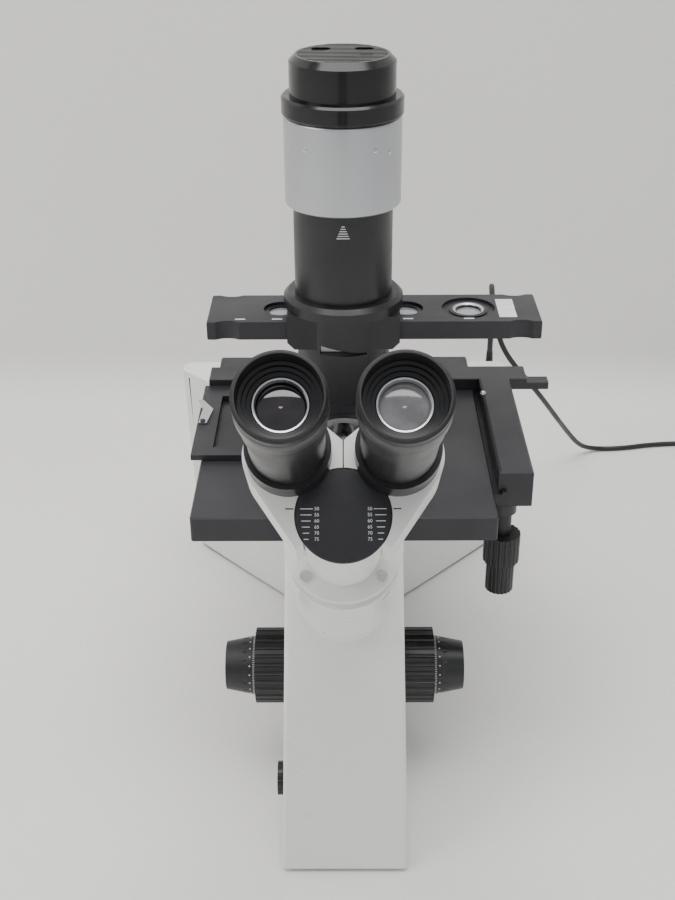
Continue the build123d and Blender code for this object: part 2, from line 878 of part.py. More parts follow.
# Condenser head: round body with a block at each side, a tunnel for the slider and a wedge-shaped window
with BuildPart() as condenser_head:
    with BuildSketch(Plane.XY.offset(condenser_head_bottom)):
        Circle(condenser_head_radius)
    extrude(amount=lamp_collar_bottom - condenser_head_bottom)
    with BuildSketch(Plane.XZ):
        with BuildLine():
            Polyline(
                (-condenser_block_half, lamp_collar_bottom),
                (condenser_block_half, lamp_collar_bottom),
                (condenser_block_half, condenser_block_bottom + condenser_block_chamfer),
                (condenser_block_half - condenser_block_chamfer, condenser_block_bottom),
                (condenser_block_chamfer - condenser_block_half, condenser_block_bottom),
                (-condenser_block_half, condenser_block_bottom + condenser_block_chamfer),
                close=True,
            )
        make_face()
    extrude(amount=condenser_block_depth, both=True)
    with BuildSketch(Plane.XY.offset(condenser_head_bottom)):
        Circle(condenser_bore)
    extrude(amount=lamp_collar_bottom - condenser_head_bottom, mode=Mode.SUBTRACT)
    with BuildSketch(Plane.XZ):
        with Locations((0, slider_top - slider_thickness / 2)):
            Rectangle(4 * condenser_block_half, slider_thickness + 2 * slider_gap)
    extrude(amount=slider_depth / 2 + slider_gap, both=True, mode=Mode.SUBTRACT)
    with BuildSketch(Plane.XZ):
        with BuildLine():
            Polyline(
                (window_slot_left, window_slot_bottom),
                (window_slot_left, window_slot_bottom + window_slot_height),
                (window_slot_left + window_slot_width, window_slot_bottom + window_slot_height / 5),
                (window_slot_left + window_slot_width, window_slot_bottom),
                close=True,
            )
        make_face()
    extrude(amount=2 * condenser_head_radius, mode=Mode.SUBTRACT)
save(condenser_head, "condenser_head")

# Condenser barrel
with BuildPart() as condenser_barrel:
    add(ring(condenser_bore, condenser_radius, condenser_bottom, condenser_head_bottom - condenser_bottom))
    chamfer(condenser_barrel.edges().group_by(Axis.Z)[0], 1.5)
save(condenser_barrel, "condenser_barrel")

# Phase slider: a bar with four stations, a wide recess at one of them and finger scallops at its ends
stations = [station_pitch * place for place in (-1, 0, 1, 2)]
slider_length = slider_left + slider_right
slider_middle = (slider_right - slider_left) / 2
with BuildPart() as phase_slider:
    with BuildSketch(Plane.XY.offset(slider_bottom)):
        with Locations((slider_middle, 0)):
            Rectangle(slider_length, slider_depth)
        scallop_x = slider_length / 2 - scallop_radius
        scallop_y = slider_depth / 2 + scallop_radius - scallop_cut / 2
        with Locations((slider_middle, 0)):
            with GridLocations(2 * scallop_x, 2 * scallop_y, 2, 2):
                Circle(scallop_radius, mode=Mode.SUBTRACT)
    extrude(amount=slider_thickness)
    with Locations([(x, 0, slider_top) for x in stations]):
        Hole(station_hole_radius)
    with BuildSketch(Plane.XY.offset(slider_top)):
        with Locations((stations[-1], 0)):
            Circle(station_recess_radius)
    extrude(amount=-station_recess_depth, mode=Mode.SUBTRACT)
    chamfer(phase_slider.edges().filter_by(Axis.Y), 0.8)
save(phase_slider, "phase_slider")

# Ring inserts in the four stations
with BuildPart() as slider_rings:
    with BuildSketch(Plane.XY.offset(slider_bottom + 2)):
        with Locations([(x, 0) for x in stations]):
            Circle(station_hole_radius - running_gap)
            Circle(station_hole_radius - 3.5, mode=Mode.SUBTRACT)
    extrude(amount=slider_thickness - 2 - station_recess_depth)
    with BuildSketch(Plane.XY.offset(slider_top - station_recess_depth)):
        with Locations((stations[-1], 0)):
            Circle(station_ring_radius)
            Circle(station_hole_radius - 1, mode=Mode.SUBTRACT)
    extrude(amount=station_recess_depth / 2)
save(slider_rings, "slider_rings")

# Lamp arm: pillar on the rear block and an arm forward to the condenser head
with BuildPart() as lamp_arm:
    with BuildSketch(Plane.YZ):
        with BuildLine():
            Polyline(
                (condenser_block_depth, arm_bottom),
                (condenser_block_depth, arm_top),
                (pillar_back, arm_top),
                (pillar_back, rear_height),
                (pillar_front, rear_height),
                (pillar_front, arm_bottom),
                close=True,
            )
        make_face()
    extrude(amount=arm_half_width, both=True)
    bends = lamp_arm.edges().filter_by(Axis.X).filter_by(
        lambda edge: edge.center().Y > pillar_front - 1 and edge.center().Z > arm_bottom - 1
    )
    fillet(bends, arm_corner_radius)
    back_edges = lamp_arm.edges().filter_by(Axis.Z).group_by(Axis.Y)[-1]
    fillet(back_edges, arm_edge_radius)
    with BuildSketch(Plane.XY.offset(arm_bottom)):
        Circle(condenser_head_radius)
    extrude(amount=lamp_collar_bottom - arm_bottom, mode=Mode.SUBTRACT)
    with BuildSketch(Plane.XY.offset(lamp_collar_bottom)):
        Circle(lamp_collar_radius + body_gap)
    extrude(amount=arm_top - lamp_collar_bottom, mode=Mode.SUBTRACT)
save(lamp_arm, "lamp_arm")

# Straight guide for the nosepiece on the front of the rear block
with BuildPart() as focus_guide:
    with BuildSketch(Plane.XY.offset(well_floor)):
        with Locations((0, rear_start - guide_depth / 2)):
            Rectangle(2 * guide_half_width, guide_depth)
    extrude(amount=guide_top - well_floor)
    chamfer(focus_guide.faces().sort_by(Axis.Z)[-1].edges(), 0.8)
save(focus_guide, "focus_guide")

# Carrier that rides on the guide and holds the turret's pin on a sloping arm
carrier_back = rear_start - guide_depth - sliding_gap
carrier_front = carrier_back - carrier_depth
tilt_slope = tan(radians(turret_tilt))
underside = turret_centre - turret_axis * (turret_thickness + sliding_gap)
with BuildPart() as focus_carrier:
    with BuildSketch(Plane.YZ):
        with BuildLine():
            arm_front_top = underside.Z + (underside.Y + carrier_arm_front) * tilt_slope
            arm_back_top = underside.Z - (carrier_front - underside.Y) * tilt_slope
            Polyline(
                (-carrier_arm_front, arm_front_top - carrier_arm_thickness),
                (-carrier_arm_front, arm_front_top),
                (carrier_front, arm_back_top),
                (carrier_front, carrier_top),
                (carrier_back, carrier_top),
                (carrier_back, carrier_bottom),
                (carrier_front - 4, carrier_bottom),
                (carrier_arm_front - 30, arm_front_top - carrier_arm_thickness - 3),
                close=True,
            )
        make_face()
    extrude(amount=carrier_arm_half, both=True)
    with BuildSketch(Plane.XY.offset(carrier_bottom)):
        with BuildLine():
            inner = guide_half_width + sliding_gap
            cheek_back = rear_start - body_gap
            Polyline(
                (-carrier_half_width, carrier_front),
                (carrier_half_width, carrier_front),
                (carrier_half_width, cheek_back),
                (inner, cheek_back),
                (inner, carrier_back),
                (-inner, carrier_back),
                (-inner, cheek_back),
                (-carrier_half_width, cheek_back),
                close=True,
            )
        make_face()
    extrude(amount=carrier_top - carrier_bottom)
    with BuildSketch(Plane.XY.offset(carrier_bottom)):
        Circle(carrier_light_radius)
    extrude(amount=shoulder_height - carrier_bottom, mode=Mode.SUBTRACT)
    with BuildSketch(Plane(origin=underside, x_dir=(1, 0, 0), z_dir=turret_axis)):
        Circle(turret_pin_radius)
    extrude(amount=turret_pin_height)
save(focus_carrier, "focus_carrier")

# Yoke from the carrier down into the column, with the rack that the pinion drives
rack_line = focus_y + pitch_radius
with BuildPart() as focus_yoke:
    with BuildSketch(Plane.YZ.offset(pinion_x)):
        with BuildLine():
            bar_bottom = yoke_bar_height - yoke_bar_thickness
            leg_back = yoke_leg_y + yoke_leg_depth / 2
            leg_front = yoke_leg_y - yoke_leg_depth / 2
            rack_back = rack_line + tooth_dedendum + 6
            Polyline(
                (rack_line + tooth_dedendum, yoke_bar_height + 10),
                (rack_back, yoke_bar_height + 10),
                (rack_back, yoke_bar_height),
                (leg_front, yoke_bar_height),
                (leg_front, carrier_bottom + 14),
                (leg_back, carrier_bottom + 14),
                (leg_back, bar_bottom),
                (rack_back, bar_bottom),
                (rack_back, rack_bottom),
                (rack_line + tooth_dedendum, rack_bottom),
                close=True,
            )
        make_face()
    extrude(amount=pinion_width / 2, both=True)
    # Rack teeth, one circular pitch apart and in step with the pinion
    tooth_pitch = pi * tooth_module
    rack_teeth = int((yoke_bar_height + 10 - rack_bottom) / tooth_pitch) - 1
    with BuildSketch(Plane.YZ.offset(pinion_x)):
        for place in range(-(rack_teeth // 2), rack_teeth // 2 + 1):
            middle = focus_z + (place + 0.5) * tooth_pitch
            if rack_bottom + tooth_pitch / 2 < middle < yoke_bar_height + 10 - tooth_pitch / 2:
                with BuildLine():
                    Polyline(
                        (rack_line + tooth_dedendum, middle - tooth_width * 0.8),
                        (rack_line - tooth_addendum, middle - tooth_width * 0.35),
                        (rack_line - tooth_addendum, middle + tooth_width * 0.35),
                        (rack_line + tooth_dedendum, middle + tooth_width * 0.8),
                        close=True,
                    )
                make_face()
    extrude(amount=pinion_width / 2, both=True)
save(focus_yoke, "focus_yoke")

# Hollow coarse shaft with the pinion
with BuildPart() as focus_shaft:
    with BuildSketch(Plane.YZ):
        with Locations((focus_y, focus_z)):
            Circle(focus_shaft_radius)
    extrude(amount=coarse_outer - 6, both=True)
    with BuildSketch(Plane.YZ.offset(pinion_x)):
        with Locations((focus_y, focus_z)):
            Circle(pitch_radius - tooth_dedendum)
            with PolarLocations(0, pinion_teeth):
                Polygon(
                    (pitch_radius - tooth_dedendum - 0.4, -tooth_width * 0.8),
                    (pitch_radius + tooth_addendum, -tooth_width * 0.35),
                    (pitch_radius + tooth_addendum, tooth_width * 0.35),
                    (pitch_radius - tooth_dedendum - 0.4, tooth_width * 0.8),
                    align=None,
                )
    extrude(amount=pinion_width / 2, both=True)
    with BuildSketch(Plane.YZ):
        with Locations((focus_y, focus_z)):
            Circle(fine_shaft_radius + running_gap)
    extrude(amount=coarse_outer, both=True, mode=Mode.SUBTRACT)
save(focus_shaft, "focus_shaft")

# Fine shaft, which runs through the coarse one
with BuildPart() as fine_shaft:
    with BuildSketch(Plane.YZ):
        with Locations((focus_y, focus_z)):
            Circle(fine_shaft_radius)
    extrude(amount=fine_outer - 4, both=True)
save(fine_shaft, "fine_shaft")

# Coarse and fine knobs, the same on both sides
for side, name in ((-1, "left"), (1, "right")):
    with BuildPart() as coarse_knob:
        with BuildSketch(Plane.YZ.offset(side * coarse_inner)):
            with Locations((focus_y, focus_z)):
                Circle(coarse_radius)
                with PolarLocations(coarse_radius + 0.6, coarse_flutes):
                    Circle(1.6, mode=Mode.SUBTRACT)
        extrude(amount=side * (coarse_outer - coarse_inner))
        rim_edges = coarse_knob.faces().sort_by(Axis.X)[0 if side < 0 else -1].edges()
        with BuildSketch(Plane.YZ.offset(side * coarse_inner)):
            with Locations((focus_y, focus_z)):
                Circle(focus_shaft_radius + running_gap)
        extrude(amount=side * (coarse_outer - 6 - coarse_inner), mode=Mode.SUBTRACT)
        with BuildSketch(Plane.YZ.offset(side * coarse_inner)):
            with Locations((focus_y, focus_z)):
                Circle(fine_shaft_radius + 2 * running_gap)
        extrude(amount=side * (coarse_outer - coarse_inner), mode=Mode.SUBTRACT)
    save(coarse_knob, f"coarse_knob_{name}")

    fine_inner = coarse_outer + sliding_gap
    with BuildPart() as fine_knob:
        with BuildSketch(Plane.YZ.offset(side * fine_inner)):
            with Locations((focus_y, focus_z)):
                Circle(fine_root_radius)
        with BuildSketch(Plane.YZ.offset(side * fine_outer)):
            with Locations((focus_y, focus_z)):
                Circle(fine_tip_radius)
        loft()
        with BuildSketch(Plane.YZ.offset(side * (fine_inner + 6))):
            with Locations((focus_y, focus_z)):
                with PolarLocations(fine_root_radius + 0.6, fine_flutes):
                    Circle(2.4)
        extrude(amount=side * (fine_outer - fine_inner), mode=Mode.SUBTRACT)
        with BuildSketch(Plane.YZ.offset(side * fine_inner)):
            with Locations((focus_y, focus_z)):
                Circle(fine_shaft_radius + running_gap)
        extrude(amount=side * (fine_outer - 4 - fine_inner), mode=Mode.SUBTRACT)
    save(fine_knob, f"fine_knob_{name}")

# Turret with a conical top, tilted so that one objective stands upright
with BuildPart() as turret:
    with BuildSketch(Plane(origin=turret_centre, x_dir=(1, 0, 0), z_dir=turret_axis.cross(Vector(-1, 0, 0)))):
        with BuildLine():
            pin_bore = turret_pin_radius + running_gap
            Polyline(
                (0, turret_offset * tilt_slope),
                (turret_radius, (turret_offset - turret_radius) * tilt_slope),
                (turret_radius, turret_edge - turret_thickness),
                (turret_radius - turret_edge, -turret_thickness),
                (pin_bore, -turret_thickness),
                (pin_bore, turret_pin_height - turret_thickness + body_gap),
                (0, turret_pin_height - turret_thickness + body_gap),
                close=True,
            )
        make_face()
    revolve(axis=Axis(turret_centre, turret_axis))
    for index in range(len(objective_lengths)):
        with BuildSketch(objective_plane(index, 1)):
            Circle(light_bore_radius)
        extrude(amount=-2 * turret_thickness, mode=Mode.SUBTRACT)
save(turret, "turret")

# Objectives, the first one upright under the stage opening
with BuildPart() as objectives:
    for index, length in enumerate(objective_lengths):
        with BuildSketch(objective_plane(index, 0)):
            Circle(objective_radius)
        extrude(amount=length * objective_taper)
        with BuildSketch(objective_plane(index, length * objective_taper)):
            Circle(objective_radius)
        with BuildSketch(objective_plane(index, length)):
            Circle(objective_tip_radius)
        loft()
        with BuildSketch(objective_plane(index, 0)):
            Circle(light_bore_radius - running_gap)
        extrude(amount=-objective_thread_length)
        with BuildSketch(objective_plane(index, length)):
            Circle(objective_tip_radius - 2.5)
        extrude(amount=-1.5, mode=Mode.SUBTRACT)
save(objectives, "objectives")

# Rail on the right edge of the stage, with a lip that holds the carriage
rail_top = rail_bottom + rail_height
with BuildPart() as stage_rail:
    with BuildSketch(Plane.XZ.offset(rail_front)):
        with BuildLine():
            Polyline(
                (stage_half_width, rail_bottom),
                (stage_half_width + rail_neck_reach, rail_bottom),
                (stage_half_width + rail_neck_reach, rail_bottom - rail_lip),
                (stage_half_width + rail_lip_reach, rail_bottom - rail_lip),
                (stage_half_width + rail_lip_reach, rail_top + rail_lip),
                (stage_half_width + rail_neck_reach, rail_top + rail_lip),
                (stage_half_width + rail_neck_reach, rail_top),
                (stage_half_width, rail_top),
                close=True,
            )
        make_face()
    extrude(amount=-rail_front - rail_back)
save(stage_rail, "stage_rail")

# Carriage that runs along the rail, with a shelf and tongue for the cross arm and a boss for the drive
with BuildPart() as y_carriage:
    carriage_width = carriage_right - carriage_left
    carriage_middle = (carriage_right + carriage_left) / 2
    with BuildSketch(Plane.XY.offset(carriage_bottom)):
        with Locations((carriage_middle, (carriage_back - carriage_front) / 2)):
            Rectangle(carriage_width, carriage_back + carriage_front)
    extrude(amount=carriage_top - carriage_bottom)
    chamfer(y_carriage.faces().sort_by(Axis.Z)[-1].edges(), carriage_edge)
    with BuildSketch(Plane.XY.offset(carriage_bottom)):
        with Locations((carriage_middle, (shelf_back - carriage_front) / 2)):
            Rectangle(carriage_width, shelf_back + carriage_front)
    extrude(amount=stage_top - carriage_bottom)
    with BuildSketch(Plane.XY.offset(stage_top)):
        with Locations((carriage_middle, cross_arm_front + cross_arm_depth / 2)):
            Rectangle(carriage_width, tongue_depth)
    extrude(amount=tongue_height)
    with BuildSketch(Plane.XY.offset(carriage_bottom)):
        with Locations((drive_x, drive_y)):
            Circle(drive_boss_radius)
    extrude(amount=-drive_boss_height)
    with BuildSketch(Plane.XZ.offset(2 * carriage_front)):
        with Locations((carriage_left, rail_bottom + rail_height / 2)):
            Rectangle(2 * (rail_neck_reach - rail_reach), rail_height + 2 * body_gap)
        with Locations((stage_half_width + (rail_neck_reach + rail_lip_reach) / 2, rail_bottom + rail_height / 2)):
            Rectangle(rail_lip_reach - rail_neck_reach + 2 * body_gap, rail_height + 2 * rail_lip + 2 * body_gap)
    extrude(amount=-4 * carriage_front, mode=Mode.SUBTRACT)
    with BuildSketch(Plane.XY.offset(carriage_bottom)):
        with Locations((drive_x, drive_y)):
            Circle(drive_sleeve_radius + running_gap)
    extrude(amount=-drive_boss_height, mode=Mode.SUBTRACT)
save(y_carriage, "y_carriage")

# Cross arm over the back of the stage, with a thinner tip that runs out to the right
arm_top_level = arm_level + cross_arm_height
with BuildPart() as cross_arm:
    with BuildSketch(Plane.XY.offset(arm_level)):
        with Locations(((cross_arm_right - cross_arm_left) / 2, cross_arm_front + cross_arm_depth / 2)):
            Rectangle(cross_arm_right + cross_arm_left, cross_arm_depth)
    extrude(amount=cross_arm_height)
    chamfer(cross_arm.faces().sort_by(Axis.Z)[-1].edges(), 0.8)
    with BuildSketch(Plane.XY.offset(arm_level)):
        with Locations((cross_arm_right + arm_tip_length / 2, cross_arm_front + arm_tip_depth / 2)):
            Rectangle(arm_tip_length, arm_tip_depth)
    extrude(amount=arm_tip_height)
    with BuildSketch(Plane.XY.offset(arm_level)):
        with Locations(((cross_arm_right + arm_tip_length) / 2, cross_arm_front + cross_arm_depth / 2)):
            Rectangle(2 * cross_arm_right, tongue_depth + 2 * sliding_gap)
    extrude(amount=tongue_height - body_gap + sliding_gap, mode=Mode.SUBTRACT)
save(cross_arm, "cross_arm")

# Holder plate with its rectangular window and the pin for the clamp
holder_top = arm_level + holder_thickness
with BuildPart() as specimen_holder:
    with BuildSketch(Plane.XY.offset(arm_level)):
        with BuildLine():
            Polyline(
                (-holder_left, -holder_front),
                (holder_right, -holder_front),
                (holder_right, cross_arm_front),
                (-holder_left, cross_arm_front),
                close=True,
            )
        make_face()
        with BuildLine():
            Polyline(
                (-window_left, -window_front),
                (window_right, -window_front),
                (window_right, window_back),
                (-window_left, window_back),
                close=True,
            )
        make_face(mode=Mode.SUBTRACT)
    extrude(amount=holder_thickness)
    with BuildSketch(Plane.XY.offset(holder_top)):
        with Locations((-clamp_x, clamp_y)):
            Circle(clamp_screw_radius - running_gap)
    extrude(amount=clamp_thickness + 1)
save(specimen_holder, "specimen_holder")

# Spring clamp that swings over the specimen
with BuildPart() as specimen_clamp:
    with BuildSketch(Plane.XY.offset(holder_top + sliding_gap)):
        with BuildLine():
            Polyline(
                (-clamp_x - clamp_width / 2, clamp_y - clamp_width / 2),
                (-clamp_x + clamp_width / 2, clamp_y - clamp_width / 2),
                (-clamp_x + clamp_width, clamp_y + 0.55 * clamp_length),
                (-clamp_x - clamp_width / 2, clamp_y + clamp_length),
                (-clamp_x - clamp_width * 1.2, clamp_y + clamp_length),
                (-clamp_x - clamp_width * 0.3, clamp_y + 0.55 * clamp_length),
                close=True,
            )
        make_face()
        with Locations((-clamp_x, clamp_y)):
            Circle(clamp_screw_radius, mode=Mode.SUBTRACT)
    extrude(amount=clamp_thickness)
save(specimen_clamp, "specimen_clamp")

# Two coaxial drive knobs below the carriage
boss_bottom = carriage_bottom - drive_boss_height
with BuildPart() as y_knob:
    with BuildSketch(Plane.XY.offset(upper_knob_bottom)):
        with Locations((drive_x, drive_y)):
            Circle(upper_knob_radius)
            with PolarLocations(upper_knob_radius + 0.5, knob_flutes):
                Circle(1.2, mode=Mode.SUBTRACT)
    extrude(amount=upper_knob_top - upper_knob_bottom)
    with BuildSketch(Plane.XY.offset(upper_knob_top)):
        with Locations((drive_x, drive_y)):
            Circle(drive_sleeve_radius)
    extrude(amount=carriage_bottom - sliding_gap - upper_knob_top)
    with BuildSketch(Plane.XY.offset(upper_knob_bottom)):
        with Locations((drive_x, drive_y)):
            Circle(drive_spindle_radius + running_gap)
    extrude(amount=carriage_bottom - upper_knob_bottom, mode=Mode.SUBTRACT)
save(y_knob, "y_knob")

with BuildPart() as x_knob:
    with BuildSketch(Plane.XY.offset(lower_knob_bottom)):
        with Locations((drive_x, drive_y)):
            Circle(lower_knob_radius)
            with PolarLocations(lower_knob_radius + 0.5, knob_flutes):
                Circle(1.0, mode=Mode.SUBTRACT)
    extrude(amount=upper_knob_bottom - sliding_gap - lower_knob_bottom)
    with BuildSketch(Plane.XY.offset(lower_knob_bottom)):
        with Locations((drive_x, drive_y)):
            Circle(drive_spindle_radius)
    extrude(amount=carriage_bottom - sliding_gap - lower_knob_bottom)
save(x_knob, "x_knob")

# Brightness dial on the left side of the column
with BuildPart() as brightness_dial:
    with BuildSketch(Plane.YZ.offset(-dial_inner)):
        with Locations((dial_y, dial_z)):
            Circle(dial_radius)
            with PolarLocations(dial_radius + 0.4, knob_flutes):
                Circle(0.9, mode=Mode.SUBTRACT)
    extrude(amount=-dial_reach)
    with BuildSketch(Plane.YZ.offset(-dial_inner)):
        with Locations((dial_y, dial_z)):
            Circle(dial_stem_radius)
    extrude(amount=2 * wall)
save(brightness_dial, "brightness_dial")

# Rocker switch in the back
with BuildPart() as power_switch:
    with BuildSketch(Plane.YZ.offset(switch_x)):
        with BuildLine():
            half_height = switch_height / 2
            Polyline(
                (rear_back - switch_depth + switch_lip, socket_z - half_height),
                (rear_back + 0.2, socket_z - half_height),
                (rear_back - 0.4, socket_z),
                (rear_back + switch_lip, socket_z + half_height),
                (rear_back - switch_depth + switch_lip, socket_z + half_height),
                close=True,
            )
        make_face()
    extrude(amount=switch_width / 2, both=True)
save(power_switch, "power_switch")

# Angled plug with its tapered strain relief
with BuildPart() as power_plug:
    with BuildSketch(Plane.XZ.offset(-rear_back)):
        with Locations((socket_x, socket_z)):
            Circle(plug_radius)
    extrude(amount=-plug_length)
    with BuildSketch(Plane.XZ.offset(-rear_back)):
        with Locations((socket_x, socket_z)):
            Circle(plug_pin_radius)
    extrude(amount=2 * wall)
    with BuildSketch(Plane.XY.offset(socket_z)):
        with Locations((socket_x, socket_y)):
            Circle(relief_root_radius)
    with BuildSketch(Plane.XY.offset(socket_z + relief_height)):
        with Locations((socket_x, socket_y)):
            Circle(cord_diameter / 2 + 0.3)
    loft()
save(power_plug, "power_plug")

# Cord from the strain relief over the back and along the table
points = [Vector(*place) for place in cord_route]
runs = [after - before for before, after in zip(points, points[1:])]
bends = []
for before, after in zip(runs, runs[1:]):
    half_turn = radians(before.get_angle(after)) / 2
    bends.append(cord_bend_share * min(before.length, after.length) / tan(half_turn))
print("cord radii", [round(bend) for bend in bends])
with BuildPart() as cord:
    with BuildLine():
        route = FilletPolyline(*points, radius=bends)
    with BuildSketch(Plane(origin=points[0], z_dir=runs[0])):
        Circle(cord_diameter / 2)
    sweep()
print("cord length", round(route.length), "volume ratio", cord.part.volume / (route.length * pi * cord_diameter ** 2 / 4))
save(cord, "cord")

# The rest of the cord, put away in a round coil, and the connector beside it
with BuildPart() as cord_coil:
    with BuildSketch():
        with Locations((coil_x, coil_y)):
            Circle(coil_outer_radius)
            Circle(coil_inner_radius, mode=Mode.SUBTRACT)
    extrude(amount=coil_height)
    fillet(cord_coil.edges().filter_by(GeomType.CIRCLE), 2.0)
save(cord_coil, "cord_coil")

with BuildPart() as cord_connector:
    with BuildSketch(Plane.XZ.offset(connector_length / 2 - coil_y)):
        with Locations((coil_x + coil_outer_radius + connector_radius + sliding_gap, connector_radius)):
            Circle(connector_radius)
    extrude(amount=-connector_length)
save(cord_connector, "cord_connector")
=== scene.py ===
import bpy
import bmesh
import json
from math import cos, pi, radians, sin, sqrt
from mathutils import Matrix, Vector


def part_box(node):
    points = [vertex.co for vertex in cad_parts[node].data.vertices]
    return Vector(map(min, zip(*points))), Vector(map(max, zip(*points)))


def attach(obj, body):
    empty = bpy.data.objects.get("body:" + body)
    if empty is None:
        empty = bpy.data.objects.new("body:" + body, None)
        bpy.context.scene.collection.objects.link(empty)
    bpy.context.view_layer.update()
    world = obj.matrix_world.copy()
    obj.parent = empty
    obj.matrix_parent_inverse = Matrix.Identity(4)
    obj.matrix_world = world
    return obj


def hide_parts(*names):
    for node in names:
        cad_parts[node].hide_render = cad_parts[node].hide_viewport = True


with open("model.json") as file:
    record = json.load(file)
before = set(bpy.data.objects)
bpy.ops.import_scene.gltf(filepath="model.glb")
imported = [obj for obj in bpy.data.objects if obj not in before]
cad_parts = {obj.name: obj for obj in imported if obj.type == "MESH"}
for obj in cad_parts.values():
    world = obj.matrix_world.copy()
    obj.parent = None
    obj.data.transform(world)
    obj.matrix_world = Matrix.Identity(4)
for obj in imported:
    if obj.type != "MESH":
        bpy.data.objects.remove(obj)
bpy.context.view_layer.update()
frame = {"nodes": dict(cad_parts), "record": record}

MM = 0.001

# Camera, solved from the photograph: place, direction and lens of one upright view
CAMERA_PLACE = Vector((1.062, -808.87, 658.18)) * MM
CAMERA_RIGHT = Vector((0.99997, 0.00399, -0.00588))
CAMERA_UP = Vector((0.0032, 0.48641, 0.87373))
CAMERA_FORWARD = Vector((-0.00635, 0.87372, -0.48638))
SENSOR_HEIGHT_MM = 24.0
LENS_MM = 33.31


def make_camera():
    data = bpy.data.cameras.new("camera")
    data.sensor_fit = "VERTICAL"
    data.sensor_height = SENSOR_HEIGHT_MM
    data.lens = LENS_MM
    data.clip_start = 0.01
    data.clip_end = 50
    camera = bpy.data.objects.new("camera", data)
    turn = Matrix((CAMERA_RIGHT, CAMERA_UP, -CAMERA_FORWARD)).transposed()
    camera.matrix_world = Matrix.Translation(CAMERA_PLACE) @ turn.to_4x4()
    bpy.context.collection.objects.link(camera)
    bpy.context.scene.camera = camera


# Materials
class Look:
    """A node material that is built up from small layers of noise."""

    def __init__(self, name, color, roughness, metallic=0.0):
        self.name = name
        self.material = bpy.data.materials.new(name)
        self.material.use_nodes = True
        self.tree = self.material.node_tree
        self.nodes = self.tree.nodes
        self.shader = self.nodes["Principled BSDF"]
        self.shader.inputs["Base Color"].default_value = (*color, 1)
        self.shader.inputs["Roughness"].default_value = roughness
        self.shader.inputs["Metallic"].default_value = metallic
        self.color = color
        self.roughness = roughness
        self.place = self.nodes.new("ShaderNodeTexCoord").outputs["Object"]
        self.normal = None

    def link(self, source, target):
        self.tree.links.new(source, target)

    def noise(self, scale, detail=4.0, stretch=None):
        node = self.nodes.new("ShaderNodeTexNoise")
        node.inputs["Scale"].default_value = scale
        node.inputs["Detail"].default_value = detail
        place = self.place
        if stretch:
            mapping = self.nodes.new("ShaderNodeMapping")
            mapping.inputs["Scale"].default_value = stretch
            self.link(self.place, mapping.inputs["Vector"])
            place = mapping.outputs["Vector"]
        self.link(place, node.inputs["Vector"])
        return node.outputs["Fac"]

    def ramp(self, value, low, high, start=0.35, end=0.65):
        node = self.nodes.new("ShaderNodeMapRange")
        node.inputs["From Min"].default_value = start
        node.inputs["From Max"].default_value = end
        node.inputs["To Min"].default_value = low
        node.inputs["To Max"].default_value = high
        self.link(value, node.inputs["Value"])
        return node.outputs["Result"]

    def mottle(self, scale, spread):
        """Colour that drifts a little from place to place."""
        mix = self.nodes.new("ShaderNodeMix")
        mix.data_type = "RGBA"
        low = [part * (1 - spread) for part in self.color]
        high = [min(1.0, part * (1 + spread)) for part in self.color]
        mix.inputs["A"].default_value = (*low, 1)
        mix.inputs["B"].default_value = (*high, 1)
        self.link(self.ramp(self.noise(scale, 5), 0.0, 1.0), mix.inputs["Factor"])
        self.link(mix.outputs["Result"], self.shader.inputs["Base Color"])
        return self

    def smears(self, scale, spread):
        """Roughness that varies, as on a surface that has been handled."""
        low = max(0.02, self.roughness - spread)
        spots = self.ramp(self.noise(scale, 3), low, self.roughness + spread)
        self.link(spots, self.shader.inputs["Roughness"])
        return self

    def grain(self, scale, strength, stretch=None, detail=2.0):
        bump = self.nodes.new("ShaderNodeBump")
        bump.inputs["Strength"].default_value = strength
        bump.inputs["Distance"].default_value = 0.0002
        self.link(self.noise(scale, detail, stretch), bump.inputs["Height"])
        if self.normal:
            self.link(self.normal, bump.inputs["Normal"])
        self.normal = bump.outputs["Normal"]
        self.link(self.normal, self.shader.inputs["Normal"])
        return self


# Grain that is drawn out along Z, as brushing and knurling leave it
BRUSHED = (1, 1, 0.03)
KNURLED = (1, 1, 0.3)


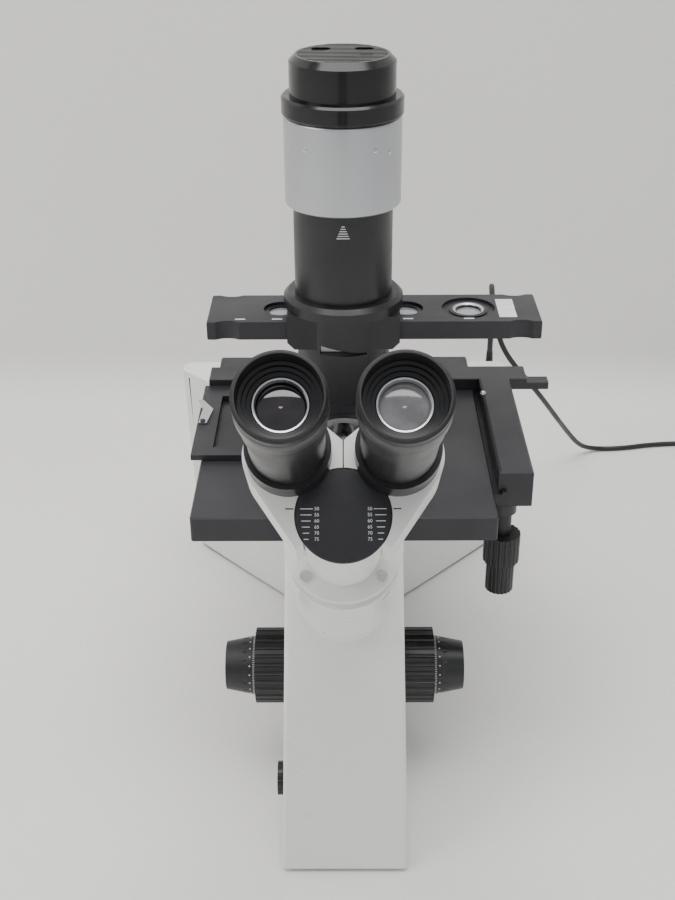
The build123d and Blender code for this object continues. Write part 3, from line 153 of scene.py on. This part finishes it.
def make_looks():
    """One finish for each kind of surface: paint, anodised metal, turned metal, rubber, glass and print."""
    silver = Look("satin_silver", (0.50, 0.51, 0.53), 0.34, 0.9)
    looks = [
        Look("white_paint", (0.80, 0.81, 0.78), 0.34).mottle(9, 0.02).smears(30, 0.07).grain(1600, 0.10),
        Look("black_paint", (0.012, 0.012, 0.014), 0.36).mottle(40, 0.15).smears(25, 0.08).grain(2600, 0.2),
        Look("stage_black", (0.020, 0.020, 0.024), 0.44).mottle(30, 0.12).smears(18, 0.08).grain(3000, 0.3),
        Look("disc_black", (0.020, 0.020, 0.023), 0.6).mottle(60, 0.1).smears(40, 0.05).grain(4200, 0.5),
        Look("gloss_black", (0.006, 0.006, 0.007), 0.2).mottle(40, 0.2).smears(25, 0.06),
        Look("black_plastic", (0.010, 0.010, 0.011), 0.38).mottle(50, 0.15).smears(30, 0.06).grain(2200, 0.3),
        Look("knurled_band", (0.085, 0.085, 0.085), 0.34, 0.7).mottle(50, 0.1).grain(5200, 0.8, KNURLED),
        silver.mottle(12, 0.03).smears(20, 0.05).grain(900, 0.08, BRUSHED),
        Look("bright_steel", (0.66, 0.66, 0.67), 0.2, 1.0).mottle(60, 0.05).smears(90, 0.06),
        Look("objective_chrome", (0.62, 0.62, 0.64), 0.25, 1.0).mottle(50, 0.05).smears(60, 0.05),
        Look("rubber", (0.012, 0.012, 0.013), 0.5).mottle(60, 0.2).smears(40, 0.08).grain(1800, 0.3),
        Look("cord_black", (0.012, 0.012, 0.013), 0.4).mottle(80, 0.2).smears(40, 0.08),
        Look("mirror", (0.9, 0.9, 0.9), 0.04, 1.0).smears(60, 0.02),
        Look("board", (0.8, 0.8, 0.74), 0.5).mottle(50, 0.05),
        Look("white_print", (0.72, 0.73, 0.73), 0.5).mottle(200, 0.08),
        Look("black_print", (0.015, 0.015, 0.015), 0.5).mottle(200, 0.08),
        # White for the wedge of painted light below the slider's shadow.
        Look("painted_light", (0.86, 0.87, 0.88), 0.3).mottle(60, 0.03),
        # Near black, for painted shade, as in the cap vents.
        Look("dark_bore", (0.004, 0.004, 0.004), 0.6).mottle(60, 0.2),
        # Lit and shaded copies of one lens glass: dark for the left lens, lighter and milky for the right
        # lens, where that is painted reflection.
        Look("lens_dark", (0.014, 0.010, 0.014), 0.05).mottle(120, 0.5).smears(60, 0.02),
        Look("lens_painted_reflection", (0.22, 0.21, 0.22), 0.16).mottle(70, 0.3).smears(60, 0.04),
        Look("glass", (0.5, 0.52, 0.56), 0.04).smears(40, 0.01),
    ]
    materials = {look.name: look.material for look in looks}
    for name in ("lens_dark", "lens_painted_reflection", "glass"):
        shader = materials[name].node_tree.nodes["Principled BSDF"]
        shader.inputs["Coat Weight"].default_value = 1.0
        shader.inputs["Coat Roughness"].default_value = 0.03
    materials["glass"].node_tree.nodes["Principled BSDF"].inputs["Transmission Weight"].default_value = 0.5
    return materials


LOOKS = make_looks()

NODE_LOOKS = {
    "stage_plate": "stage_black", "stage_insert": "stage_black", "specimen_holder": "stage_black",
    "cross_arm": "stage_black", "y_carriage": "stage_black", "cord": "cord_black",
    "scale_disc": "disc_black", "lamp_cap": "gloss_black", "lamp_ring": "gloss_black",
    # The right lens takes the lighter copy of the lens glass, a painted reflection.
    "eye_lens_left": "lens_dark", "eye_lens_right": "lens_painted_reflection", "phase_slider": "stage_black",
}


def dress_nodes():
    """Gives every carried-over node its finish, from the record's slot unless a finer one is named."""
    slots = {item["node"]: item["material_slot"] for item in frame["record"]["subparts"]}
    for name, node in frame["nodes"].items():
        look = LOOKS[NODE_LOOKS.get(name, slots[name])]
        node.data.materials.clear()
        node.data.materials.append(look)


def new_piece(name, mesh_builder, look, body, smooth=False):
    """Makes a mesh piece with bmesh and lets it ride on a body."""
    mesh = bpy.data.meshes.new(name)
    shape = bmesh.new()
    mesh_builder(shape)
    bmesh.ops.recalc_face_normals(shape, faces=shape.faces)
    for face in shape.faces:
        face.smooth = smooth
    shape.to_mesh(mesh)
    shape.free()
    piece = bpy.data.objects.new(name, mesh)
    mesh.materials.append(LOOKS[look])
    bpy.context.collection.objects.link(piece)
    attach(piece, body)
    return piece


# Cord: the same route as the solid's, then the coil and the short tail into the connector
CORD_DIAMETER = 5.0 * MM
COIL_CENTRE = (415.0, 414.0)
COIL_TURNS = 3
COIL_FIRST_RADIUS = 32.5
COIL_PITCH = 5.1
COIL_INWARD_TURNS = 2.4
COIL_STEPS = 16
COIL_POINTS = 82
LAYER_HEIGHT = 5.2
LYING_HEIGHT = 2.6
CORD_TAIL = [
    (439.0, 383.5, 6.4),
    (449.5, 385.5, 5.0),
    (454.6, 393.5, 4.5),
    (454.8, 404.0, 4.5),
]
CORD_ROUTE = [
    (130.7, 213.4, 190.0),
    (130.7, 213.4, 206.0),
    (131.0, 213.9, 222.4),
    (131.5, 223.3, 236.1),
    (132.6, 239.4, 241.3),
    (134.2, 255.5, 236.1),
    (136.5, 264.6, 221.5),
    (141.0, 266.0, 197.0),
    (149.5, 262.0, 166.5),
    (185.4, 275.0, 120.5),
    (209.4, 300.0, 81.4),
    (231.7, 335.0, 42.0),
    (250.0, 357.0, 14.0),
    (268.0, 370.0, 2.6),
    (297.0, 370.5, 2.6),
    (330.0, 378.5, 2.6),
    (359.0, 381.5, 2.6),
    (388.0, 380.8, 2.6),
]


def coil_points():
    """The put-away length: turns that wind inwards on the floor and back outwards on top."""
    points = []
    for step in range(COIL_POINTS):
        turn = step / COIL_STEPS
        angle = -pi / 2 + 2 * pi * turn
        inwards = min(turn, COIL_INWARD_TURNS)
        outwards = max(0.0, turn - COIL_TURNS)
        radius = COIL_FIRST_RADIUS - COIL_PITCH * inwards + COIL_PITCH * outwards
        risen = min(1.0, max(0.0, turn - COIL_TURNS + 0.5) * 2)
        x = COIL_CENTRE[0] + radius * cos(angle)
        y = COIL_CENTRE[1] + radius * sin(angle)
        points.append((x, y, LYING_HEIGHT + LAYER_HEIGHT * risen))
    return points


def make_cord():
    route = CORD_ROUTE + coil_points() + CORD_TAIL
    curve = bpy.data.curves.new("cord_line", "CURVE")
    curve.dimensions = "3D"
    curve.bevel_depth = CORD_DIAMETER / 2
    curve.bevel_resolution = 5
    curve.use_fill_caps = True
    spline = curve.splines.new("NURBS")
    spline.points.add(len(route) - 1)
    for point, place in zip(spline.points, route):
        point.co = (*(Vector(place) * MM), 1)
    spline.order_u = 3
    spline.use_endpoint_u = True
    spline.resolution_u = 8
    cord = bpy.data.objects.new("power_cord", curve)
    curve.materials.append(LOOKS["cord_black"])
    bpy.context.collection.objects.link(cord)
    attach(cord, "base")
    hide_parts("cord", "cord_coil")


# Places on the head: the tube leans towards the user at 45 degrees. The cup's sizes are in millimetres
SIDE_X = Vector((1, 0, 0))
UP = Vector((0, 0, 1))
TO_FRONT = Vector((0, -1, 0))
TUBE_AXIS = Vector((0, -sqrt(0.5), sqrt(0.5)))
TUBE_UP = Vector((0, sqrt(0.5), sqrt(0.5)))
DISC_TOP = Vector((0, -315.09, 348.6)) * MM
EYE_X = 25.75 * MM
EYE_V = 29.02 * MM
CUP_TOP = 89.2
CUP_DEPTH = 14.5
SIDES = ((-1, "left"), (1, "right"))


def place_matrix(origin, x_dir, z_dir):
    """Matrix of a plane: local X and Z as given, local Y square to both."""
    z_axis = z_dir.normalized()
    y_axis = z_axis.cross(x_dir.normalized()).normalized()
    turn = Matrix((y_axis.cross(z_axis), y_axis, z_axis)).transposed()
    return Matrix.Translation(origin) @ turn.to_4x4()


def eye_matrix(side):
    centre = DISC_TOP + Vector((side * EYE_X, 0, 0)) + TUBE_UP * EYE_V
    return place_matrix(centre, SIDE_X, TUBE_AXIS)


def lathe(name, profile, matrix, look, body, steps=96):
    """Turns a closed profile of (radius, height) in millimetres about the plane's Z."""
    def build(shape):
        rings = []
        for radius, height in profile:
            ring = []
            for step in range(steps):
                angle = 2 * pi * step / steps
                place = Vector((radius * cos(angle), radius * sin(angle), height)) * MM
                ring.append(shape.verts.new(matrix @ place))
            rings.append(ring)
        for low, high in zip(rings, rings[1:] + rings[:1]):
            for step in range(steps):
                after = (step + 1) % steps
                shape.faces.new((low[step], low[after], high[after], high[step]))
    piece = new_piece(name, build, look, body, smooth=True)
    piece.data.set_sharp_from_angle(angle=radians(35))


def prisms(name, outlines, height, matrix, look, body):
    """Thin raised shapes: each outline of (x, y) in millimetres stands on the plane by a height."""
    def build(shape):
        for outline in outlines:
            low = [shape.verts.new(matrix @ (Vector((x, y, 0)) * MM)) for x, y in outline]
            high = [shape.verts.new(matrix @ (Vector((x, y, height)) * MM)) for x, y in outline]
            shape.faces.new(list(reversed(low)))
            shape.faces.new(high)
            for step in range(len(low)):
                after = (step + 1) % len(low)
                shape.faces.new((low[step], low[after], high[after], high[step]))
    new_piece(name, build, look, body)


def bar(x, y, width, depth):
    """Outline of a rectangle about its middle."""
    return [
        (x - width / 2, y - depth / 2),
        (x + width / 2, y - depth / 2),
        (x + width / 2, y + depth / 2),
        (x - width / 2, y + depth / 2),
    ]


PRINT_HALF_THICKNESS = 0.02
PRINT_LIFT = 0.05


def number(name, words, x, y, size, matrix, look, body):
    """A plain printed number, as a thin flat text in millimetres on a plane."""
    data = bpy.data.curves.new(name, "FONT")
    data.body = words
    data.size = size * MM
    data.extrude = PRINT_HALF_THICKNESS * MM
    data.align_x = "CENTER"
    data.align_y = "CENTER"
    data.materials.append(LOOKS[look])
    piece = bpy.data.objects.new(name, data)
    piece.matrix_world = matrix @ Matrix.Translation(Vector((x, y, PRINT_LIFT)) * MM)
    bpy.context.collection.objects.link(piece)
    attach(piece, body)


def make_eyepieces():
    """Black tube foot, knurled band, stepped inside of the cup and bright lens bezel, on both sides."""
    foot = [(20.35, 0.4), (20.35, 14.2), (17.95, 14.2), (17.95, 14.02), (20.15, 14.02), (20.15, 0.4)]
    band = [(20.22, 73.0), (20.42, 73.3), (20.42, 83.5), (20.22, 83.8)]
    floor = CUP_TOP - CUP_DEPTH + 0.05
    steps = [
        (11.2, floor),
        (17.6, floor),
        (17.8, floor + 6.5),
        (16.2, floor + 6.3),
        (16.0, floor + 4.2),
        (14.4, floor + 4.0),
        (14.2, floor + 2.6),
        (12.4, floor + 2.4),
        (12.2, floor + 1.5),
        (11.2, floor + 1.2),
    ]
    bezel = [
        (10.6, floor + 0.1),
        (12.1, floor + 1.6),
        (11.9, floor + 2.0),
        (11.2, floor + 1.9),
        (10.6, floor + 0.9),
    ]
    for side, name in SIDES:
        matrix = eye_matrix(side)
        lathe(f"tube_foot_{name}", foot, matrix, "black_paint", f"housing_{name}")
        lathe(f"knurled_band_{name}", band, matrix, "knurled_band", f"eyepiece_{name}")
        lathe(f"cup_steps_{name}", steps, matrix, "gloss_black", f"eyepiece_{name}")
        lathe(f"lens_bezel_{name}", bezel, matrix, "bright_steel", f"eyepiece_{name}")


def make_scale():
    """Ticks and plain numbers on the scale disc, and the index line on each housing."""
    matrix = place_matrix(DISC_TOP, SIDE_X, TUBE_AXIS)
    ticks = []
    values = ("50", "55", "60", "65", "70", "75")
    first_y = 3.0
    row_pitch = 2.9
    number_x = 12.4
    number_size = 2.3
    for side, side_name in SIDES:
        for index, value in enumerate(values):
            y = first_y - row_pitch * index
            length = 6.0 - 0.75 * index
            outer_end = 20.2 - 0.16 * index ** 1.5
            ticks.append(bar(side * (outer_end - length / 2), y, length, 0.35))
            name = f"scale_{side_name}_{value}"
            number(name, value, side * number_x, y, number_size, matrix, "white_print", "base")
    prisms("scale_ticks", ticks, 0.05, matrix, "white_print", "base")
    for side, name in SIDES:
        line = bar(side * 25.2, first_y, 3.8, 0.6)
        prisms(f"index_line_{name}", [line], 0.06, matrix, "black_print", f"housing_{name}")


def make_lamp_details():
    """Vents in the cap as painted shade, grub screws in the sleeve, the small white scale on the tube and the
    bright wedge, a white patch of painted light.
    """
    gap = 0.1 * MM
    cap_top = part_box("lamp_cap")[1][2]
    cap = place_matrix(UP * cap_top, SIDE_X, UP)
    # The vents are painted shade: near-black thin patches on the cap top where the openings look dark.
    vents = [bar(-15.7, 7.0, 8.3, 4.9), bar(14.9, -5.5, 8.3, 4.9)]
    prisms("cap_vent_painted_shade", vents, 0.02, cap, "dark_bore", "base")

    tube_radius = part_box("lamp_tube")[1][0]
    tube = place_matrix(TO_FRONT * (tube_radius + gap), SIDE_X, TO_FRONT)
    bars = [bar(0, 391.5 - 1.6 * row, 2.0 + 1.3 * row, 0.55) for row in range(6)]
    prisms("tube_scale", bars, 0.12, tube, "white_print", "base")

    sleeve_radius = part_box("lamp_sleeve")[1][0]
    screw = [(0.5, 0.0), (1.5, 0.0), (1.5, 0.45), (1.2, 0.6), (0.7, 0.6), (0.5, 0.2)]
    screw_places = ((-38, 441.0), (32, 441.0), (50, 438.0))
    for index, (turn, height) in enumerate(screw_places):
        away = Vector((sin(radians(turn)), -cos(radians(turn)), 0))
        spot = away * (sleeve_radius - gap) + UP * height * MM
        matrix = place_matrix(spot, Vector((away.y, -away.x, 0)), away)
        lathe(f"grub_screw_{index}", screw, matrix, "bright_steel", "sleeve", 24)

    # The white wedge is painted light: the lit patch below the slider's shadow, its sloped edge following
    # that shadow's edge.
    head_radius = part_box("condenser_head")[1][0]
    wedge = place_matrix(TO_FRONT * head_radius * 0.62, SIDE_X, TO_FRONT)
    outline = [(-15.6, 299.4), (15.2, 299.4), (15.2, 300.2), (-15.6, 305.2)]
    prisms("wedge_painted_light", [outline], 1.0, wedge, "painted_light", "base")


def make_slider_details():
    """Blank white label, small marks by the stations and grey station plates."""
    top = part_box("phase_slider")[1][2]
    plane = place_matrix(UP * top, SIDE_X, UP)
    prisms("slider_label", [bar(113.0, -1.0, 12.0, 32.0)], 0.12, plane, "white_print", "slider")
    marks = [bar(x, -19.0, 7.0, 1.6) for x in (-70.7, -45.4, 44.2, 85.8)]
    prisms("slider_marks", marks, 0.06, plane, "white_print", "slider")

    station_pitch = 43.5
    plate = [(0.01, -3.2), (8.45, -3.2), (8.45, -4.2), (0.01, -4.2)]
    centres = []
    for index in range(4):
        x = (index - 1) * station_pitch
        centres.append(place_matrix(Vector((x * MM, 0, top)), SIDE_X, UP))
        lathe(f"station_plate_{index}", plate, centres[index], "glass", "slider", 48)
    ring = [(9.0, -2.0), (10.9, -1.0), (10.9, -0.8), (10.4, -0.7), (9.0, -1.4)]
    lathe("station_ring", ring, centres[-1], "bright_steel", "slider", 64)


def ring_of_blocks(name, count, half_turn, radii, heights, matrix):
    """Small closed blocks in a ring about the plane's Z, each between two radii and two heights."""
    low_edge, high_edge = heights
    corners = ((-1, low_edge), (1, low_edge), (1, high_edge), (-1, high_edge))

    def build(shape):
        for step in range(count):
            faces = []
            for radius in radii:
                face = []
                for side, height in corners:
                    turn = 2 * pi * step / count + side * half_turn
                    place = Vector((radius * cos(turn), radius * sin(turn), height)) * MM
                    face.append(shape.verts.new(matrix @ place))
                faces.append(face)
            inner, outer = faces
            shape.faces.new(list(reversed(inner)))
            shape.faces.new(outer)
            for corner in range(4):
                after = (corner + 1) % 4
                shape.faces.new((inner[corner], inner[after], outer[after], outer[corner]))
    new_piece(name, build, "white_print", "fine_drive")


def make_knob_details():
    """Ring of white dots and a fine white scale on each fine knob, near its inner end."""
    for side, name in SIDES:
        low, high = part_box(f"fine_knob_{name}")
        inner_x = high[0] if side < 0 else low[0]
        centre = Vector((inner_x, (low[1] + high[1]) / 2, (low[2] + high[2]) / 2))
        matrix = place_matrix(centre, Vector((0, 1, 0)), side * SIDE_X)
        ring_of_blocks(f"fine_dots_{name}", 20, 0.022, (20.15, 20.45), (3.15, 4.05), matrix)
        ring_of_blocks(f"fine_scale_{name}", 100, 0.0085, (20.7, 21.0), (0.2, 1.4), matrix)


def make_stage_details():
    """Small silver ball, a half dome, on the carriage's inner edge."""
    radius = 2.4
    bore = 0.01
    foot = -0.2
    low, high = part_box("y_carriage")
    place = Vector((low[0] + 3.0 * MM, 28.0 * MM, high[2]))
    spot = place_matrix(place, SIDE_X, UP)
    profile = [(bore, foot), (radius + bore, foot)]
    for step in range(7):
        angle = radians(15 * step)
        profile.append((radius * cos(angle) + bore, radius * sin(angle)))
    lathe("carriage_ball", profile, spot, "bright_steel", "carriage", 32)


# Studio, in metres: pale floor with a soft bend up to the wall, as in the photograph
WALL_Y = 0.50
WALL_TOP = 3.0
BEND_RADIUS = 0.06
BEND_STEPS = 8
FLOOR_FRONT = -3.0
FLOOR_HALF_WIDTH = 4.0


def make_studio():
    profile = [(FLOOR_FRONT, 0.0), (WALL_Y - BEND_RADIUS, 0.0)]
    for step in range(1, BEND_STEPS + 1):
        angle = pi / 2 * step / BEND_STEPS
        y = WALL_Y - BEND_RADIUS + BEND_RADIUS * sin(angle)
        profile.append((y, BEND_RADIUS - BEND_RADIUS * cos(angle)))
    profile.append((WALL_Y, WALL_TOP))

    mesh = bpy.data.meshes.new("studio")
    shape = bmesh.new()
    rows = []
    for y, z in profile:
        rows.append([shape.verts.new((x, y, z)) for x in (-FLOOR_HALF_WIDTH, FLOOR_HALF_WIDTH)])
    for low, high in zip(rows, rows[1:]):
        shape.faces.new((low[0], low[1], high[1], high[0]))
    for face in shape.faces:
        face.smooth = True
    shape.to_mesh(mesh)
    shape.free()
    floor = bpy.data.objects.new("studio", mesh)
    pale = Look("studio_white", (0.80, 0.79, 0.77), 0.6).mottle(3, 0.015).smears(4, 0.1)
    mesh.materials.append(pale.material)
    bpy.context.collection.objects.link(floor)


def add_light(name, place, target, size, power, color=(1, 1, 1)):
    data = bpy.data.lights.new(name, "AREA")
    data.shape = "RECTANGLE"
    data.size = size[0]
    data.size_y = size[1]
    data.energy = power
    data.color = color
    light = bpy.data.objects.new(name, data)
    light.location = place
    aim = Vector(target) - Vector(place)
    light.rotation_euler = aim.to_track_quat("-Z", "Y").to_euler()
    bpy.context.collection.objects.link(light)


def make_lights():
    add_light("ceiling", (0.0, -0.2, 2.4), (0, 0, 0), (2.2, 1.4), 52)
    add_light("window_left", (-1.8, -0.9, 1.5), (0, 0, 0.2), (1.2, 1.2), 16, (1.0, 0.98, 0.95))
    add_light("front_fill", (0.5, -2.2, 1.2), (0, 0, 0.25), (1.6, 1.0), 5)
    world = bpy.data.worlds.new("world")
    world.use_nodes = True
    world.node_tree.nodes["Background"].inputs["Color"].default_value = (0.9, 0.92, 0.95, 1)
    world.node_tree.nodes["Background"].inputs["Strength"].default_value = 0.5
    bpy.context.scene.world = world


make_camera()
dress_nodes()
make_cord()
make_eyepieces()
make_scale()
make_lamp_details()
make_slider_details()
make_knob_details()
make_stage_details()
make_studio()
make_lights()
